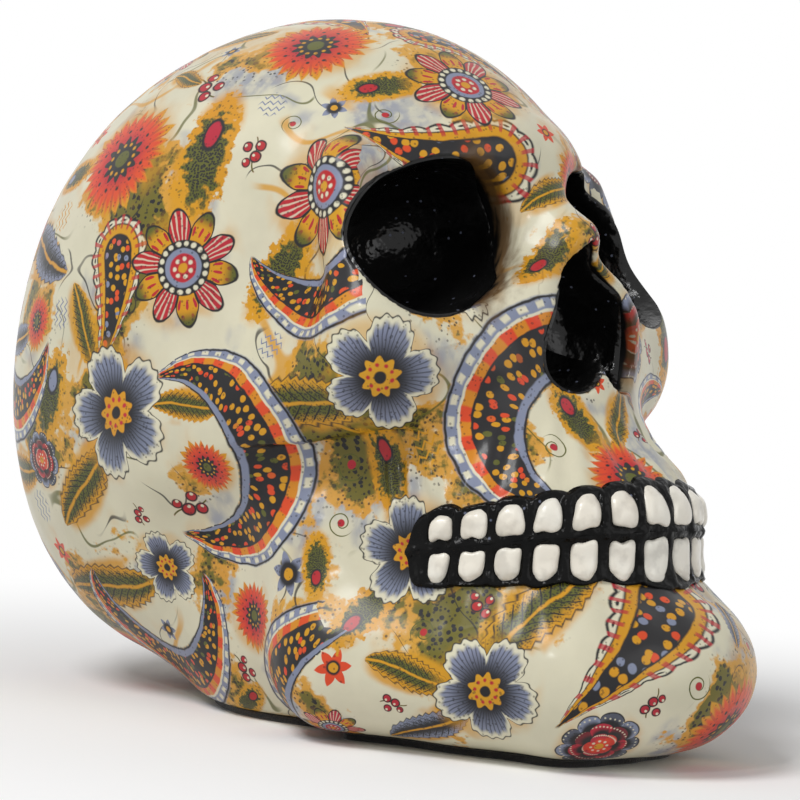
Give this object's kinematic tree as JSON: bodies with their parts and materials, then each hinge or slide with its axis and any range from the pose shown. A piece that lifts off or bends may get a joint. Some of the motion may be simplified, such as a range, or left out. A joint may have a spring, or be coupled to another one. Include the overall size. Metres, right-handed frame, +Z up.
{
  "type": "decorative sugar skull",
  "caption": "Life-size decorative skull with a floral printed casting, black socket linings and gum bands, separate teeth and a felted flat base, for standing on a shelf.",
  "frame": {"origin": "on the floor plane, on the underside of the felt pad, on the skull's midline", "axes": "+Z is up, the face looks along -Y, and +X is the skull's own left"},
  "size_m": [0.1272, 0.2127, 0.1715],
  "materials": {
    "printed_casting": "ivory resin casting covered in a floral paper print under gloss lacquer",
    "black_lacquer": "gloss black paint with slight overspray at the rims",
    "tooth_enamel": "off-white gloss paint, hand finished",
    "bare_resin": "unpainted cast resin",
    "felt": "black felt"
  },
  "bodies": {
    "root": {"skull_shell": "printed_casting", "left_eye_socket": "black_lacquer", "right_eye_socket": "black_lacquer", "nasal_cavity": "black_lacquer", "upper_gum": "black_lacquer", "lower_gum": "black_lacquer", "upper_left_tooth_1": "tooth_enamel", "upper_left_tooth_2": "tooth_enamel", "upper_left_tooth_3": "tooth_enamel", "upper_left_tooth_4": "tooth_enamel", "upper_left_tooth_5": "tooth_enamel", "upper_left_tooth_6": "tooth_enamel", "upper_left_tooth_7": "tooth_enamel", "upper_right_tooth_1": "tooth_enamel", "upper_right_tooth_2": "tooth_enamel", "upper_right_tooth_3": "tooth_enamel", "upper_right_tooth_4": "tooth_enamel", "upper_right_tooth_5": "tooth_enamel", "upper_right_tooth_6": "tooth_enamel", "upper_right_tooth_7": "tooth_enamel", "lower_left_tooth_1": "tooth_enamel", "lower_left_tooth_2": "tooth_enamel", "lower_left_tooth_3": "tooth_enamel", "lower_left_tooth_4": "tooth_enamel", "lower_left_tooth_5": "tooth_enamel", "lower_left_tooth_6": "tooth_enamel", "lower_left_tooth_7": "tooth_enamel", "lower_right_tooth_1": "tooth_enamel", "lower_right_tooth_2": "tooth_enamel", "lower_right_tooth_3": "tooth_enamel", "lower_right_tooth_4": "tooth_enamel", "lower_right_tooth_5": "tooth_enamel", "lower_right_tooth_6": "tooth_enamel", "lower_right_tooth_7": "tooth_enamel", "base_plate": "bare_resin", "base_pad": "felt"}
  },
  "joints": []
}
